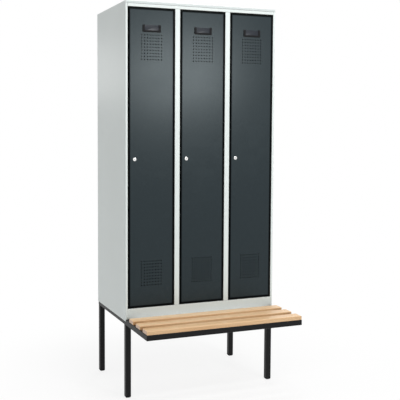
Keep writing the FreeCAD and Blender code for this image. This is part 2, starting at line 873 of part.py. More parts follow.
slat_bolts = []
for name, slat_front in slat_fronts.items():
    ends = [(x, slat_bolt_lines[name]) for x in (-rail_middle, rail_middle)]
    save("bench_slat_" + name, make_slat(slat_front, ends))
    slat_bolts += [make_bolt(x, y, slat_bolt_radius, frame_top + slat_bolt_depth) for x, y in ends]
save("slat_bolts", *slat_bolts)
body_bolts = []
for x, y in front_bolts + rear_bolts:
    body_bolts.append(make_bolt(x, y, body_bolt_radius, frame_top + sheet + 2 * bolt_head_height))
    body_bolts.append(make_nut(x, y, body_bolt_radius, frame_top + sheet))
save("body_bolts", *body_bolts)
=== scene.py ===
from collections import namedtuple
import math

import bpy
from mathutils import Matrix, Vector


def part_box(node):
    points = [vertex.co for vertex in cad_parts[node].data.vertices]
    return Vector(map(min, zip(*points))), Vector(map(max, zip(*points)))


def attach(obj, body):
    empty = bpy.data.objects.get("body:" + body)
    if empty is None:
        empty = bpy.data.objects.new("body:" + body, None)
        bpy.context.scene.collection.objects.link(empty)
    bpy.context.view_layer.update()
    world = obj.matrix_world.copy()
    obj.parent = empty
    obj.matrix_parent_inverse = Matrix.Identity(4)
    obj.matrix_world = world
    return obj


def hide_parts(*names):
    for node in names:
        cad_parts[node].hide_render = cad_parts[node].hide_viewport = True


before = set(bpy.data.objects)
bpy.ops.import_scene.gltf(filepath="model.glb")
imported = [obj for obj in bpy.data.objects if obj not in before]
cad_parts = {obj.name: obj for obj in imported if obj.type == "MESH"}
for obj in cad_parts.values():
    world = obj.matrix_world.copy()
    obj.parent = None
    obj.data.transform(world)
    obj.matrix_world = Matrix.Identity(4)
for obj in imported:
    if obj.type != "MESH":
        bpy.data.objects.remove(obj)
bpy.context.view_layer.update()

BAYS = ("left", "middle", "right")
WHITE = (1, 1, 1, 1)
QUARTER_TURN = math.pi / 2

# Photograph: a square frame, with the camera's place found from the locker's edges in it.
# The lens axis meets the picture at a column and a row of its own, because the lens is shifted.
PICTURE = 400
CAMERA_PLACE = Vector((-1.6807, -3.6551, 1.4264))
CAMERA_YAW = math.radians(19.829)
CAMERA_PITCH = math.radians(-3.5)
FOCAL_PIXELS = 721.2
AXIS_COLUMN = 133.7
AXIS_ROW = 174.9
SENSOR = 36.0


def paint(red, green, blue):
    """A colour as it is seen on screen, 0 to 255, in the linear values that shaders use."""
    def linear(level):
        level = level / 255
        return level / 12.92 if level <= 0.04045 else ((level + 0.055) / 1.055) ** 2.4
    return (linear(red), linear(green), linear(blue), 1.0)


def shade(colour, factor):
    """The same colour, lighter or darker by that factor."""
    return tuple(channel * factor for channel in colour[:3]) + (1.0,)


class Field:
    """A node's output that can stand in a Python expression: each operator adds one Math node."""

    def __init__(self, finish, socket):
        self.finish = finish
        self.socket = socket

    def __add__(self, other):
        return self.finish.math("ADD", self, other)

    def __radd__(self, other):
        return self.finish.math("ADD", other, self)

    def __sub__(self, other):
        return self.finish.math("SUBTRACT", self, other)

    def __rsub__(self, other):
        return self.finish.math("SUBTRACT", other, self)

    def __mul__(self, other):
        return self.finish.math("MULTIPLY", self, other)

    def __rmul__(self, other):
        return self.finish.math("MULTIPLY", other, self)

    def __truediv__(self, other):
        return self.finish.math("DIVIDE", self, other)

    def __rtruediv__(self, other):
        return self.finish.math("DIVIDE", other, self)


class Finish:
    """The node tree of one material or world, and the few calls that fill it."""

    JOINT_RAYS = 8
    # A Mix node has sockets for each kind of data, and these numbers are the ones for colours
    MIX_FACTOR = 0
    MIX_FIRST = 6
    MIX_SECOND = 7
    MIX_RESULT = 2

    def __init__(self, owner):
        self.owner = owner
        owner.use_nodes = True
        self.tree = owner.node_tree
        self.tree.nodes.clear()

    def feed(self, socket, value):
        """Links a field to a socket, or sets the socket to a plain value."""
        if isinstance(value, Field):
            self.tree.links.new(value.socket, socket)
        else:
            socket.default_value = value

    def node(self, kind, settings=None, sockets=None, output=0):
        """Adds a node: its settings are set first, then the values or links of its sockets."""
        made = self.tree.nodes.new(kind)
        for name, value in (settings or {}).items():
            setattr(made, name, value)
        for name, value in (sockets or {}).items():
            self.feed(made.inputs[name], value)
        return Field(self, made.outputs[output]) if made.outputs else None

    def math(self, operation, *values):
        return self.node("ShaderNodeMath", {"operation": operation}, dict(enumerate(values)))

    def ramp(self, value, start, end):
        """0 below start and 1 above end, eased between them."""
        settings = {"interpolation_type": "SMOOTHSTEP"}
        sockets = {"Value": value, "From Min": start, "From Max": end}
        return self.node("ShaderNodeMapRange", settings, sockets)

    def mix(self, amount, first, second, blend="MIX"):
        settings = {"data_type": "RGBA", "blend_type": blend}
        sockets = {self.MIX_FACTOR: amount, self.MIX_FIRST: first, self.MIX_SECOND: second}
        return self.node("ShaderNodeMix", settings, sockets, self.MIX_RESULT)

    def place(self, scale=(1, 1, 1)):
        """Object coordinates in metres, stretched by a factor for each axis."""
        spot = self.node("ShaderNodeTexCoord", output="Object")
        return self.node("ShaderNodeMapping", None, {"Vector": spot, "Scale": scale})

    def axis(self, vector, name):
        return self.node("ShaderNodeSeparateXYZ", None, {"Vector": vector}, name)

    def noise(self, place, scale, detail=2.0, roughness=0.5):
        sockets = {"Vector": place, "Scale": scale, "Detail": detail, "Roughness": roughness}
        return self.node("ShaderNodeTexNoise", None, sockets)

    def grain(self, scale, detail=2.0, roughness=0.5):
        """Noise that is drawn out: its scale has one factor for each axis."""
        return self.noise(self.place(scale), 1.0, detail, roughness)

    def bump(self, height, depth, **under):
        """Relief of a depth in metres. Normal=... puts it on top of another relief."""
        return self.node("ShaderNodeBump", None, {"Height": height, "Distance": depth, **under})

    def deep_in_joints(self, reach, closed, open_air):
        """1 in the narrow joints between pieces and in hollows, 0 in the open: the mask for painted shade.
        """
        settings = {"samples": self.JOINT_RAYS}
        openness = self.node("ShaderNodeAmbientOcclusion", settings, {"Distance": reach}, "AO")
        return 1 - self.ramp(openness, closed, open_air)

    def film(self, **sockets):
        """One Principled shader. Socket names are written with an underscore for each space."""
        values = {name.replace("_", " "): value for name, value in sockets.items()}
        return self.node("ShaderNodeBsdfPrincipled", None, values)

    def surface(self, **sockets):
        """Ends the material in one Principled shader."""
        return self.end_in(self.film(**sockets))

    def mixed_surface(self, amount, first, second):
        """Ends the material in a mix of two shaders."""
        return self.end_in(self.node("ShaderNodeMixShader", None, {0: amount, 1: first, 2: second}))

    def end_in(self, shader):
        is_world = isinstance(self.owner, bpy.types.World)
        kind = "ShaderNodeOutputWorld" if is_world else "ShaderNodeOutputMaterial"
        self.node(kind, None, {"Surface": shader})
        return self.owner


def new_finish(name):
    return Finish(bpy.data.materials.new(name))


def swing(pattern, by):
    """A pattern that runs from 0 to 1, as a swing about zero."""
    return (pattern - 0.5) * by


# Colours

BODY_PAINT = paint(208, 215, 213)
# Lid paint: the body's grey made darker, as painted shade on the lid
SHADED_LID_PAINT = paint(190, 197, 196)
# Painted shade for the inside corners of the body, in a warm grey
CORNER_SHADE_PAINT = paint(148, 144, 131)
WELD_PAINT = paint(176, 180, 178)
DOOR_PAINT = paint(29, 38, 42)
FRAME_PAINT = paint(15, 15, 16)
SCUFF_PAINT = paint(52, 51, 50)
PALE_BEECH = paint(240, 211, 171)
WARM_BEECH = paint(220, 180, 134)
DEEP_BEECH = paint(188, 142, 95)
SHADED_BEECH = paint(172, 118, 66)
PALE_END_GRAIN = paint(214, 183, 158)
DEEP_END_GRAIN = paint(176, 140, 112)
PALE_NICKEL = paint(242, 242, 241)
DEEP_NICKEL = paint(226, 226, 224)
KEY_SLOT_SHADE = paint(22, 22, 22)
PALE_ZINC = paint(198, 200, 202)
DEEP_ZINC = paint(168, 172, 177)
PALE_PLASTIC = paint(18, 18, 20)
DEEP_PLASTIC = paint(12, 12, 14)
PALE_NAME_PLATE = paint(35, 39, 46)
DEEP_NAME_PLATE = paint(29, 33, 40)
FLOOR_PAINT = paint(236, 236, 236)

# Powder coat: cells of its patterns in a metre, reaches in metres, and how strongly each thing shows
PEEL_SCALE = 420
SPECK_SCALE = 1500
SPECK_SHOW = 0.25
SPECK_SHADE = 0.88
SPECK_RELIEF = 0.25
CLOUD_SCALE = 4.5
CLOUD_DARK = 0.96
CLOUD_LIGHT = 1.04
# Painted shade in the inside corners, in a warm grey
CORNER_SHADE_REACH = 0.15
CORNER_SHADE_SHOW = 0.75
# Painted shade in the narrow joints, and the dark film of little reflection that paints shade round the
# doors
JOINT_REACH = 0.020
JOINT_SHOW = 0.92
JOINT_SHADE = 0.05
SHADE_FILM_TONE = 0.05
SHADE_FILM_ROUGHNESS = 0.7
SHADE_FILM_SPECULAR = 0.02

# Paint of the body, with the rows of spot welds
BODY_ROUGHNESS = 0.30
BODY_PEEL_DEPTH = 1.6e-5
BODY_SPECULAR = 0.28
WELD_PITCH = 0.080
WELD_INSET = 0.0075
WELD_RADIUS = 0.004
WELD_FLAT = 0.3
WELD_DEPTH = 0.0008
WELD_SHOW = 0.3

# Paint of the doors, with painted shade along their edges and hand marks
DOOR_ROUGHNESS = 0.27
DOOR_PEEL_DEPTH = 1.4e-5
DOOR_SPECULAR = 0.26
DOOR_SPECULAR_TINT = (0.87, 0.98, 1.0, 1.0)
EDGE_SHADE_WIDTH = 0.011
EDGE_SHADE_SOLID = 0.4
EDGE_SHADE_SHOW = 0.94
LOCK_HEIGHT = 1.2765
HAND_NEAR = 0.05
HAND_FAR = 0.30
HAND_MARK_SCALE = 16
HAND_MARK_ROUGHNESS = 0.05

# Paint of the tube frame, with scuffs
FRAME_ROUGHNESS = 0.42
FRAME_PEEL_DEPTH = 2.0e-5
FRAME_SPECULAR = 0.18
SCUFF_FOOT = 0.02
SCUFF_HEIGHT = 0.16
SCUFF_GRAIN = (90, 90, 18)
SCUFF_SHOW = 0.5
SCUFF_ROUGHNESS = 0.14

Coat = namedtuple("Coat", "finish spot tone roughness relief joint")


def powder_coat(name, colour, roughness, peel_depth, corner_shade_colour=None):
    """Baked powder coat: fine orange peel, a cloudy film, small differences of sheen, and painted shade in
    the narrow joints and, with a colour given for it, in the inside corners.
    """
    finish = new_finish(name)
    spot = finish.place()
    peel = finish.noise(spot, PEEL_SCALE, detail=2.0, roughness=0.45)
    specks = finish.noise(spot, SPECK_SCALE, detail=1.0)
    cloud = finish.noise(spot, CLOUD_SCALE, detail=3.0, roughness=0.55)
    tone = finish.mix(cloud, shade(colour, CLOUD_DARK), shade(colour, CLOUD_LIGHT))
    speckled = finish.ramp(specks, start=0.62, end=0.80) * SPECK_SHOW
    tone = finish.mix(speckled, tone, shade(colour, SPECK_SHADE))
    if corner_shade_colour:
        # Painted shade in the inside corners
        corner = finish.deep_in_joints(CORNER_SHADE_REACH, closed=0.30, open_air=1.0) * CORNER_SHADE_SHOW
        tone = finish.mix(corner, tone, corner_shade_colour)
    # Painted shade in the narrow joints between pieces
    joint = finish.deep_in_joints(JOINT_REACH, closed=0.15, open_air=0.80) * JOINT_SHOW
    tone = finish.mix(joint, tone, shade(colour, JOINT_SHADE))
    uneven = roughness + swing(cloud, by=0.07) + swing(specks, by=0.05)
    relief = finish.bump(peel + specks * SPECK_RELIEF, peel_depth)
    return Coat(finish, spot, tone, uneven, relief, joint)


def shade_painted_where(finish, amount, face, colour):
    """Ends a material in its face film, which gives way by that amount to a dark film of little reflection:
    painted shade.
    """
    shade_film = finish.film(
        Base_Color=shade(colour, SHADE_FILM_TONE), Roughness=SHADE_FILM_ROUGHNESS, Specular_IOR_Level=SHADE_FILM_SPECULAR)
    return finish.mixed_surface(amount, face, shade_film)


def body_coat(name, colour):
    """Grey paint of the body, with painted shade in a warm grey in the inside corners."""
    return powder_coat(name, colour, BODY_ROUGHNESS, BODY_PEEL_DEPTH, CORNER_SHADE_PAINT)


def grey_powder_coat(name, colour):
    """Body paint with painted shade in the joints round the doors, where it turns dark and loses its
    reflection.
    """
    coat = body_coat(name, colour)
    face = coat.finish.film(
        Base_Color=coat.tone, Roughness=coat.roughness, Normal=coat.relief,
        Specular_IOR_Level=BODY_SPECULAR)
    return shade_painted_where(coat.finish, coat.joint, face, colour)


def spot_welded_grey_powder_coat():
    """Body paint over the rows of spot welds that hold the back panel to the walls behind it."""
    coat = body_coat("spot_welded_grey_powder_coat", BODY_PAINT)
    finish = coat.finish
    low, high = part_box("partition_right")
    wall = (low.x + high.x) / 2
    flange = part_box("back_panel")[1].x - WELD_INSET
    across = finish.math("ABSOLUTE", finish.axis(coat.spot, "X"))
    from_wall = finish.math("ABSOLUTE", across - wall)
    from_flange = finish.math("ABSOLUTE", across - flange)
    sideways = finish.math("MINIMUM", from_wall, from_flange)
    row = finish.axis(coat.spot, "Z") / WELD_PITCH
    up = swing(finish.math("FRACT", row), by=WELD_PITCH)
    reach = finish.math("SQRT", up * up + sideways * sideways)
    dimple = 1 - finish.ramp(reach, start=WELD_FLAT * WELD_RADIUS, end=WELD_RADIUS)
    tone = finish.mix(dimple * WELD_SHOW, coat.tone, WELD_PAINT)
    dented = finish.bump(1 - dimple, WELD_DEPTH, Normal=coat.relief)
    return finish.surface(
        Base_Color=tone, Roughness=coat.roughness, Normal=dented, Specular_IOR_Level=BODY_SPECULAR)


def inside_door_edge(finish, spot):
    """How far a point lies inside the nearest edge of its door, in metres."""
    low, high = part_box("door_leaf_middle")
    bay_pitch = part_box("door_leaf_right")[0].x - low.x
    across = finish.axis(spot, "X")
    height = finish.axis(spot, "Z")
    from_middle = across - finish.math("ROUND", across / bay_pitch) * bay_pitch
    from_side = (high.x - low.x) / 2 - finish.math("ABSOLUTE", from_middle)
    from_end = finish.math("MINIMUM", height - low.z, high.z - height)
    return finish.math("MINIMUM", from_side, from_end)


def anthracite_powder_coat():
    """Door paint, with a line of painted shade along the folded edges and faint hand marks round the lock's
    height.
    """
    coat = powder_coat("anthracite_powder_coat", DOOR_PAINT, DOOR_ROUGHNESS, DOOR_PEEL_DEPTH)
    finish = coat.finish
    # Painted shade: a dark band along each door's edges
    rim = 1 - finish.ramp(inside_door_edge(finish, coat.spot), start=EDGE_SHADE_SOLID * EDGE_SHADE_WIDTH, end=EDGE_SHADE_WIDTH)
    reach = finish.math("ABSOLUTE", finish.axis(coat.spot, "Z") - LOCK_HEIGHT)
    at_hand = 1 - finish.ramp(reach, start=HAND_NEAR, end=HAND_FAR)
    marks = finish.noise(coat.spot, HAND_MARK_SCALE, detail=4.0)
    handled = at_hand * finish.ramp(marks, start=0.48, end=0.66)
    face = finish.film(
        Base_Color=coat.tone, Roughness=coat.roughness + handled * HAND_MARK_ROUGHNESS, Normal=coat.relief,
        Specular_IOR_Level=DOOR_SPECULAR, Specular_Tint=DOOR_SPECULAR_TINT)
    # Painted shade along the door edges and in the narrow joints
    dark = finish.math("MAXIMUM", rim * EDGE_SHADE_SHOW, coat.joint)
    return shade_painted_where(finish, dark, face, DOOR_PAINT)


def black_powder_coat():
    """Frame paint, scuffed by shoes near the floor."""
    coat = powder_coat("black_powder_coat", FRAME_PAINT, FRAME_ROUGHNESS, FRAME_PEEL_DEPTH)
    finish = coat.finish
    low = 1 - finish.ramp(finish.axis(coat.spot, "Z"), start=SCUFF_FOOT, end=SCUFF_HEIGHT)
    streaks = finish.grain(SCUFF_GRAIN, detail=4.0, roughness=0.6)
    scuffed = low * finish.ramp(streaks, start=0.58, end=0.72)
    tone = finish.mix(scuffed * SCUFF_SHOW, coat.tone, SCUFF_PAINT)
    return finish.surface(
        Base_Color=tone, Roughness=coat.roughness + scuffed * SCUFF_ROUGHNESS, Normal=coat.relief,
        Specular_IOR_Level=FRAME_SPECULAR)


# Beech: where the boards lie, and the rings about a pith below each board, in metres
BOARD_PITCH = 0.100
BOARD_START = -0.425
BOARD_GAP = 0.060
PITH_HEIGHT = 0.34
PITH_SIDE_SPREAD = 0.10
PITH_RISE_SPREAD = 0.05
SIDE_DRAW = 3.0
RISE_DRAW = 17.0
RING_PITCH = 0.0052
RING_WANDER = 0.035
RING_TAPER = 0.006

# Beech: grains along X, Y and Z in a metre, and how strongly each thing shows
WANDER_GRAIN = (1.3, 9, 9)
FIBRE_GRAIN = (14, 620, 620)
STREAK_GRAIN = (2.2, 46, 46)
FLECK_GRAIN = (160, 1500, 1500)
PORE_GRAIN = (300, 1400, 1400)
PALE_BOARD = 0.35
BOARD_SHOW = 0.5
RING_SHOW = 0.34
FIBRE_SHOW = 0.14
FLECK_SHOW = 0.45
GAP_SHOW = 0.8
END_RING_SHOW = 0.35
END_PORE_SHOW = 0.3
END_ROUGHNESS = 0.12
FLECK_RELIEF = 0.6
RING_RELIEF = 0.3
BEECH_RELIEF = 3.0e-5
BEECH_ROUGHNESS = 0.40
BEECH_SPECULAR = 0.40
LACQUER_WEIGHT = 0.12
LACQUER_ROUGHNESS = 0.22

# Painted shade: the tops keep their colour, and the front and back faces of each board are this much darker
SIDE_FACE_SHADE = (0.77, 0.74, 0.71, 1.0)


def draw_for(finish, board, start):
    """A random number for each board, always the same."""
    return finish.node("ShaderNodeTexWhiteNoise", {"noise_dimensions": "1D"}, {"W": board + start})


def facing_along(finish, name):
    """1 on the faces that look along an axis, 0 on the others."""
    facing = finish.node("ShaderNodeTexCoord", output="Normal")
    return finish.ramp(finish.math("ABSOLUTE", finish.axis(facing, name)), start=0.55, end=0.92)


def late_wood_rings(finish, board):
    """The dark side of each growth ring, about the pith that a board was sawn from."""
    spot = finish.place()
    across = finish.axis(spot, "Y")
    along = finish.axis(spot, "X")
    height = finish.axis(spot, "Z")
    draw = draw_for(finish, board, SIDE_DRAW)
    middle = (board + 0.5) * BOARD_PITCH + BOARD_START
    wander = finish.grain(WANDER_GRAIN, detail=3.0)
    sideways = across - middle + swing(draw, by=PITH_SIDE_SPREAD) + swing(wander, by=RING_WANDER)
    upwards = height - PITH_HEIGHT + draw_for(finish, board, RISE_DRAW) * PITH_RISE_SPREAD
    radius = finish.math("SQRT", sideways * sideways + upwards * upwards)
    ring = finish.math("FRACT", (radius + along * swing(draw, by=RING_TAPER)) / RING_PITCH)
    return finish.ramp(ring, start=0.55, end=0.95) * (1 - finish.ramp(ring, start=0.95, end=1.0))


def lacquered_beech():
    """Solid beech boards: growth rings, fibres, flecks and end grain under clear lacquer, with painted
    shade on their front and back faces and between them.
    """
    finish = new_finish("lacquered_beech")
    across = finish.axis(finish.place(), "Y")
    board = finish.math("FLOOR", (across - BOARD_START) / BOARD_PITCH)
    late_wood = late_wood_rings(finish, board)
    fibres = finish.grain(FIBRE_GRAIN, detail=3.0, roughness=0.6)
    streaks = finish.grain(STREAK_GRAIN, detail=4.0, roughness=0.55)
    fleck = finish.ramp(finish.grain(FLECK_GRAIN, detail=1.0), start=0.64, end=0.72)

    tone = finish.mix(finish.ramp(streaks, start=0.30, end=0.72), PALE_BEECH, WARM_BEECH)
    warmer = (draw_for(finish, board, SIDE_DRAW) - PALE_BOARD) * BOARD_SHOW
    tone = finish.mix(warmer, tone, WARM_BEECH)
    tone = finish.mix(late_wood * RING_SHOW + fibres * FIBRE_SHOW, tone, DEEP_BEECH)
    tone = finish.mix(fleck * FLECK_SHOW, tone, DEEP_BEECH)

    # Painted shade in the gaps between the boards
    shade_between_boards = finish.deep_in_joints(BOARD_GAP, closed=0.40, open_air=1.0)
    tone = finish.mix(shade_between_boards * GAP_SHOW, tone, SHADED_BEECH)

    tone = finish.mix(facing_along(finish, "Y"), tone, SIDE_FACE_SHADE, "MULTIPLY")
    end = facing_along(finish, "X")
    pores = finish.ramp(finish.grain(PORE_GRAIN), start=0.5, end=0.75)
    end_grain = late_wood * END_RING_SHOW + pores * END_PORE_SHOW
    tone = finish.mix(end, tone, finish.mix(end_grain, PALE_END_GRAIN, DEEP_END_GRAIN))

    roughness = BEECH_ROUGHNESS + swing(fibres, by=0.10) + end * END_ROUGHNESS
    relief = finish.bump(fibres - fleck * FLECK_RELIEF + late_wood * RING_RELIEF, BEECH_RELIEF)
    return finish.surface(
        Base_Color=tone, Roughness=roughness, Normal=relief, Specular_IOR_Level=BEECH_SPECULAR,
        Coat_Weight=LACQUER_WEIGHT, Coat_Roughness=LACQUER_ROUGHNESS)


# Metal and plastic of the fittings: patterns in a metre, depths in metres
TURNING_GRAIN = (2400, 200, 2400)
TURNING_DEPTH = 6.0e-6
NICKEL_FILM_SCALE = 90
NICKEL_ROUGHNESS = 0.20
KEY_SLOT_REACH = 0.003
SPANGLE_SCALE = 260
SPANGLE_SHOW = 0.6
ZINC_FILM_SCALE = 60
ZINC_FILM_SHOW = 0.4
ZINC_ROUGHNESS = 0.34
ZINC_METALLIC = 0.95
DRAWING_GRAIN = (30, 1800, 1800)
DRAWING_DEPTH = 8.0e-6
SPARK_SCALE = 1700
SPARK_DEPTH = 1.8e-5
FLOW_SCALE = 35
PLASTIC_ROUGHNESS = 0.62
PLASTIC_SPECULAR = 0.15
BRUSHED_GRAIN = (60, 900, 900)
BRUSHED_DEPTH = 6.0e-6
NAME_PLATE_ROUGHNESS = 0.29
NAME_PLATE_SPECULAR = 0.23


def nickel_plate():
    """Turned and plated lock metal: fine turning marks, an uneven plate, painted shade in the key slot and
    ring gap.
    """
    finish = new_finish("nickel_plate")
    marks = finish.grain(TURNING_GRAIN)
    film = finish.noise(finish.place(), NICKEL_FILM_SCALE, detail=3.0)
    tone = finish.mix(film, DEEP_NICKEL, PALE_NICKEL)
    # Painted shade in the key slot and in the ring gap round the plug
    slot = finish.deep_in_joints(KEY_SLOT_REACH, closed=0.25, open_air=0.75)
    tone = finish.mix(slot, tone, KEY_SLOT_SHADE)
    roughness = NICKEL_ROUGHNESS + swing(film, by=0.10) + swing(marks, by=0.08)
    relief = finish.bump(marks, TURNING_DEPTH)
    return finish.surface(Base_Color=tone, Metallic=1.0, Roughness=roughness, Normal=relief)


def zinc_plate():
    """Bright zinc on drawn and pressed steel: a faint blue film with spangle."""
    finish = new_finish("zinc_plate")
    spot = finish.place()
    spangle = finish.node("ShaderNodeTexVoronoi", None, {"Vector": spot, "Scale": SPANGLE_SCALE}, "Color")
    film = finish.noise(spot, ZINC_FILM_SCALE, detail=4.0)
    drawn = finish.grain(DRAWING_GRAIN)
    bright = finish.axis(spangle, "X") * SPANGLE_SHOW + film * ZINC_FILM_SHOW
    tone = finish.mix(bright, DEEP_ZINC, PALE_ZINC)
    roughness = ZINC_ROUGHNESS + swing(film, by=0.14) + swing(drawn, by=0.10)
    relief = finish.bump(drawn, DRAWING_DEPTH)
    return finish.surface(Base_Color=tone, Metallic=ZINC_METALLIC, Roughness=roughness, Normal=relief)


def black_moulded_plastic():
    """Injection-moulded black plastic with a fine spark texture."""
    finish = new_finish("black_moulded_plastic")
    spot = finish.place()
    sparks = finish.noise(spot, SPARK_SCALE, detail=2.0, roughness=0.55)
    flow = finish.noise(spot, FLOW_SCALE, detail=3.0)
    tone = finish.mix(flow, DEEP_PLASTIC, PALE_PLASTIC)
    roughness = PLASTIC_ROUGHNESS + swing(flow, by=0.10) + swing(sparks, by=0.06)
    relief = finish.bump(sparks, SPARK_DEPTH)
    return finish.surface(
        Base_Color=tone, Roughness=roughness, Normal=relief, Specular_IOR_Level=PLASTIC_SPECULAR)


def satin_name_plate():
    """Blank plate of dark satin plastic, brushed across."""
    finish = new_finish("satin_name_plate")
    brushed = finish.grain(BRUSHED_GRAIN)
    tone = finish.mix(brushed, DEEP_NAME_PLATE, PALE_NAME_PLATE)
    roughness = NAME_PLATE_ROUGHNESS + swing(brushed, by=0.12)
    relief = finish.bump(brushed, BRUSHED_DEPTH)
    return finish.surface(
        Base_Color=tone, Roughness=roughness, Normal=relief, Specular_IOR_Level=NAME_PLATE_SPECULAR)


# Finish of each material slot, and finishes that single pieces have for themselves
FINISHES = {
    "grey_steel": grey_powder_coat("light_grey_powder_coat", BODY_PAINT),
    "anthracite_steel": anthracite_powder_coat(),
    "black_steel": black_powder_coat(),
    "beech": lacquered_beech(),
    "nickel": nickel_plate(),
    "zinc_steel": zinc_plate(),
    "black_plastic": black_moulded_plastic(),
}
OWN_FINISHES = {
    "back_panel": spot_welded_grey_powder_coat(),
    "top_panel": grey_powder_coat("shaded_lid_grey_powder_coat", SHADED_LID_PAINT),
}
NAME_PLATE_FINISH = satin_name_plate()


def dress_frame():
    """Gives every piece of the frame its finish."""
    for name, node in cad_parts.items():
        for slot in node.material_slots:
            slot.material = OWN_FINISHES.get(name) or FINISHES[slot.material.name]


# Sizes of the small modelled pieces, in metres, and the steps and angles of their roundings
MERGE_REACH = 1e-5
FLAT_ANGLE = math.radians(1)
SHARP_ANGLE = math.radians(40)
SMOOTH_ANGLE = math.radians(35)
EASE_STEPS = 3
SOCKET_EASE = 0.0006
NUT_EASE = 0.0006
TONGUE_EASE = 0.0004
HOOK_EASE = 0.0008
CARD_FRAME_CORNER = 0.004
CARD_FRAME_STEPS = 5
CARD_FRAME_EASE = 0.0007
PLATE_SIDE = 0.0055
PLATE_FOOT = 0.0025
PLATE_HEAD = 0.002
PLATE_THICKNESS = 0.0008
PLATE_BACK = 0.0002
PLATE_CORNER = 0.002
PLATE_STEPS = 4
PLATE_EASE = PLATE_THICKNESS / 4
BEAD_LENGTH = 0.026
BEAD_RADIUS = 0.0026
BEAD_SIDES = 10
BEAD_NECK = 0.8
BEAD_RINGS = 22
BEAD_SMOOTH_ANGLE = math.radians(60)
BUFFER_RADIUS = 0.0025
BUFFER_SIDES = 24
BUFFER_HEIGHT = 0.0024
BUFFER_ROUNDING = 0.0009
BUFFER_STEPS = 4
BUFFER_SMOOTH_ANGLE = math.radians(40)
BUFFER_INSET = 0.0015
BUFFER_FROM_END = 0.12
SHEET = 0.001


def select_only(piece):
    bpy.ops.object.select_all(action="DESELECT")
    piece.select_set(True)
    bpy.context.view_layer.objects.active = piece


def round_some_edges(piece, wanted, radius, steps):
    """In edit mode, rounds the edges whose two ends pass the test, and leaves edit mode."""
    bpy.ops.mesh.select_mode(type="EDGE")
    bpy.ops.mesh.select_all(action="DESELECT")
    bpy.ops.object.mode_set(mode="OBJECT")
    corners = piece.data.vertices
    for edge in piece.data.edges:
        first, second = [corners[index].co for index in edge.vertices]
        edge.select = wanted(first, second)
    bpy.ops.object.mode_set(mode="EDIT")
    bpy.ops.mesh.bevel(offset=radius, segments=steps, affect="EDGES")
    bpy.ops.object.mode_set(mode="OBJECT")


def ease_edges(piece, radius):
    """Rounds every sharp edge of a closed piece."""
    select_only(piece)
    easing = piece.modifiers.new("easing", "BEVEL")
    easing.width = radius
    easing.segments = EASE_STEPS
    easing.limit_method = "ANGLE"
    easing.angle_limit = SHARP_ANGLE
    bpy.ops.object.modifier_apply(modifier=easing.name)
    bpy.ops.object.shade_smooth_by_angle(angle=SMOOTH_ANGLE)


def hand_over(piece, name, body, slot, finish=None):
    """Names a finished piece and gives it its finish and the body that it moves with."""
    piece.name = name
    piece.data.materials.clear()
    piece.data.materials.append(finish or FINISHES[slot])
    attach(piece, body)


def copy_of(node_name):
    """A copy of a piece of the frame, with its triangles merged into whole faces, left in edit mode."""
    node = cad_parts[node_name]
    piece = bpy.data.objects.new(node_name + "_copy", node.data.copy())
    bpy.context.collection.objects.link(piece)
    select_only(piece)
    bpy.ops.mesh.customdata_custom_splitnormals_clear()
    bpy.ops.object.mode_set(mode="EDIT")
    bpy.ops.mesh.select_all(action="SELECT")
    bpy.ops.mesh.remove_doubles(threshold=MERGE_REACH)
    bpy.ops.mesh.dissolve_limited(angle_limit=FLAT_ANGLE)
    return piece


def softened(node_name, name, body, slot, radius):
    """Stands for a piece of the frame whose real edges are rolled or moulded round."""
    piece = copy_of(node_name)
    bpy.ops.object.mode_set(mode="OBJECT")
    ease_edges(piece, radius)
    hand_over(piece, name, body, slot)
    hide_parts(node_name)


def card_frame(bay):
    """Moulded card frame on a door: the outer corners are round, then every edge is eased."""
    node_name = "label_holder_" + bay
    low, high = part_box(node_name)
    piece = copy_of(node_name)

    def outer_corner(first, second):
        along = abs(first.y - second.y) > CARD_FRAME_EASE
        at_side = min(abs(first.x - low.x), abs(first.x - high.x)) < MERGE_REACH
        return along and at_side and abs(first.x - second.x) < MERGE_REACH

    round_some_edges(piece, outer_corner, CARD_FRAME_CORNER, CARD_FRAME_STEPS)
    ease_edges(piece, CARD_FRAME_EASE)
    hand_over(piece, "card_frame_" + bay, "door_" + bay, "black_plastic")
    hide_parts(node_name)


def blank_name_plate(bay):
    """Plain plate in the slot of a card frame, with rounded corners and eased edges."""
    low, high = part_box("label_holder_" + bay)
    width = high.x - low.x - 2 * PLATE_SIDE
    height = high.z - low.z - PLATE_FOOT - PLATE_HEAD
    depth = high.y - PLATE_BACK - PLATE_THICKNESS / 2
    middle = Vector(((low.x + high.x) / 2, depth, low.z + PLATE_FOOT + height / 2))
    bpy.ops.object.select_all(action="DESELECT")
    bpy.ops.mesh.primitive_cube_add(size=1, location=middle, scale=(width, PLATE_THICKNESS, height))
    plate = bpy.context.object
    bpy.ops.object.transform_apply()
    bpy.ops.object.mode_set(mode="EDIT")

    def corner(first, second):
        return abs(first.y - second.y) > PLATE_THICKNESS / 2

    round_some_edges(plate, corner, PLATE_CORNER, PLATE_STEPS)
    ease_edges(plate, PLATE_EASE)
    hand_over(plate, "blank_name_plate_" + bay, "door_" + bay, "black_plastic", NAME_PLATE_FINISH)


def soften_fittings():
    """The moulded and pressed fittings, with the edges that theirs really have."""
    softened("rail_sockets", "rail_socket_cups", "cabinet", "black_plastic", SOCKET_EASE)
    for bay in BAYS:
        door, lock = "door_" + bay, "lock_" + bay
        card_frame(bay)
        blank_name_plate(bay)
        softened("lock_nut_" + bay, "lock_ring_nut_" + bay, door, "zinc_steel", NUT_EASE)
        softened("lock_cam_" + bay, "lock_tongue_" + bay, lock, "zinc_steel", TONGUE_EASE)
        for hook in (bay + "_a", bay + "_b"):
            body = "hook_" + hook
            softened("coat_hook_" + hook, "sliding_hook_" + hook, body, "black_plastic", HOOK_EASE)


